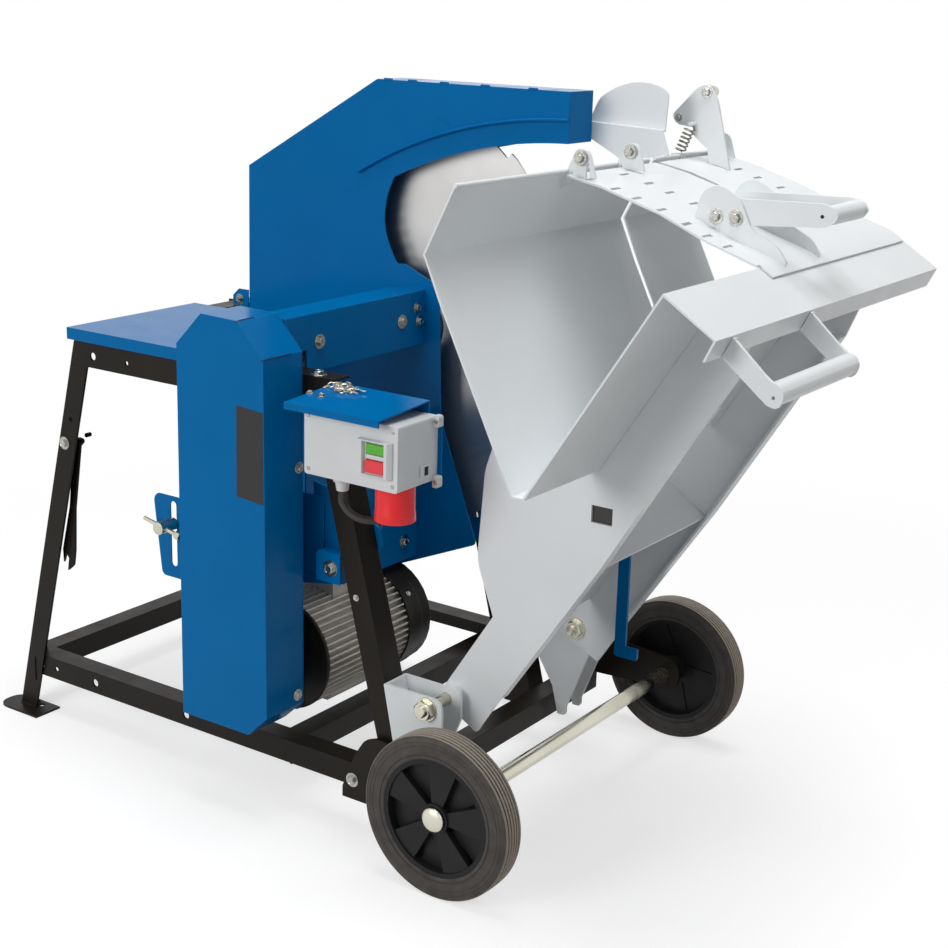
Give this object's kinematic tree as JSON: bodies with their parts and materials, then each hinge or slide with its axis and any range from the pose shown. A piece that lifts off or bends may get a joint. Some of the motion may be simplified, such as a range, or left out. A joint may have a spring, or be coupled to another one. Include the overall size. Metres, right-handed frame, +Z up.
{
  "type": "rocking firewood saw",
  "caption": "Rocking firewood saw: blue blade hood, belt cover and side table on a dark angle-iron stand with wheels, and a grey V-shaped log trough with a slotted cover and push handles.",
  "frame": {"origin": "on the floor under the middle of the bounding box", "axes": "+Z up, +X from the side table towards the operator's trough, +Y away from the belt cover's side"},
  "size_m": [1.551, 0.8062, 1.1744],
  "materials": {
    "blue_paint": "semi-gloss",
    "cradle_paint": "semi-gloss",
    "frame_paint": "satin",
    "zinc": "satin",
    "steel": "satin",
    "tyre_rubber": "matte",
    "rim_plastic": "matte",
    "belt_rubber": "matte",
    "cable_rubber": "matte",
    "motor_alloy": "matte",
    "fan_plastic": "matte",
    "box_plastic": "satin",
    "green_plastic": "satin",
    "red_plastic": "satin",
    "inlet_plastic": "satin"
  },
  "bodies": {
    "stand": {"wheel_axle": "zinc", "near_right_leg": "frame_paint", "far_left_leg": "frame_paint", "far_right_leg": "frame_paint", "near_bottom_rail": "frame_paint", "far_bottom_rail": "frame_paint", "left_cross_rail": "frame_paint", "middle_cross_rail": "frame_paint", "right_cross_rail": "frame_paint", "near_left_leg": "frame_paint", "far_foot": "frame_paint", "near_top_rail": "frame_paint", "far_top_rail": "frame_paint", "near_axle_bracket": "frame_paint", "far_axle_bracket": "frame_paint", "table_top": "blue_paint", "arbor_beam": "blue_paint", "near_bearing": "steel", "far_bearing": "steel", "hood_far_plate": "blue_paint", "hood_near_plate": "blue_paint", "belt_cover": "blue_paint", "belt_back_plate": "blue_paint", "v_belt": "belt_rubber", "motor_plate": "blue_paint", "motor_body": "motor_alloy", "motor_fan_cover": "fan_plastic", "switch_plate": "blue_paint", "switch_box": "box_plastic", "power_inlet": "inlet_plastic", "motor_cable": "cable_rubber", "near_pivot_bracket": "cradle_paint", "far_pivot_bracket": "cradle_paint", "near_pivot_bolt": "zinc", "far_pivot_bolt": "zinc"},
    "near_wheel": {"near_tyre": "tyre_rubber", "near_wheel_rim": "rim_plastic"},
    "far_wheel": {"far_tyre": "tyre_rubber", "far_wheel_rim": "rim_plastic"},
    "arbor": {"arbor_shaft": "steel", "blade_flange": "steel", "saw_blade": "steel", "driven_pulley": "steel"},
    "motor_rotor": {"motor_pulley": "steel"},
    "tension_screw": {"clamp_screw": "zinc"},
    "start_key": {"start_button": "green_plastic"},
    "stop_key": {"stop_button": "red_plastic"},
    "leg_bar": {"hanging_bar": "frame_paint"},
    "rocker": {"trough_sheet": "cradle_paint", "near_side_plate": "cradle_paint", "far_side_plate": "cradle_paint", "cradle_web": "cradle_paint", "push_handle": "cradle_paint", "wing_deflector": "cradle_paint", "cover_spring": "steel"},
    "cover": {"log_cover": "cradle_paint", "cover_handle": "cradle_paint", "rear_lever": "cradle_paint"},
    "hook": {"transport_hook": "blue_paint"}
  },
  "joints": [
    {"name": "near_wheel_spin", "type": "hinge", "parent": "stand", "child": "near_wheel", "pos_m": [0.28147, -0.35215, 0.13], "axis": [0, 1, 0], "continuous": true},
    {"name": "far_wheel_spin", "type": "hinge", "parent": "stand", "child": "far_wheel", "pos_m": [0.28147, 0.37385, 0.13], "axis": [0, 1, 0], "continuous": true},
    {"name": "arbor_spin", "type": "hinge", "parent": "stand", "child": "arbor", "pos_m": [-0.11853, -0.07315, 0.748], "axis": [0, 1, 0], "continuous": true},
    {"name": "motor_spin", "type": "hinge", "parent": "stand", "child": "motor_rotor", "pos_m": [-0.14353, -0.31315, 0.235], "axis": [0, 1, 0], "continuous": true},
    {"name": "clamp_turn", "type": "hinge", "parent": "stand", "child": "tension_screw", "pos_m": [-0.33353, -0.27315, 0.438], "axis": [0, 1, 0], "continuous": true},
    {"name": "start_press", "type": "slide", "parent": "stand", "child": "start_key", "axis": [0, 1, 0], "range_m": [0, 0.004], "stiffness_N_per_m": 300},
    {"name": "stop_press", "type": "slide", "parent": "stand", "child": "stop_key", "axis": [0, 1, 0], "range_m": [0, 0.004], "stiffness_N_per_m": 300},
    {"name": "bar_swing", "type": "hinge", "parent": "stand", "child": "leg_bar", "pos_m": [-0.58053, -0.25715, 0.531], "axis": [0, -1, 0], "range_deg": [-4, 60]},
    {"name": "cradle_rock", "type": "hinge", "parent": "stand", "child": "rocker", "pos_m": [0.19647, -0.02315, 0.25], "axis": [0, -1, 0], "range_deg": [0, 26]},
    {"name": "cover_lift", "type": "hinge", "parent": "rocker", "child": "cover", "pos_m": [0.34147, 0.07685, 1.083], "axis": [0, 1, 0], "range_deg": [-55, 0], "deforming": ["cover_spring"]},
    {"name": "hook_swing", "type": "hinge", "parent": "rocker", "child": "hook", "pos_m": [0.35747, 0.02685, 0.512], "axis": [0, 1, 0], "range_deg": [-20, 20]}
  ],
  "couplings": [
    {"joint": "motor_spin", "follows": "arbor_spin", "ratio": 1}
  ]
}
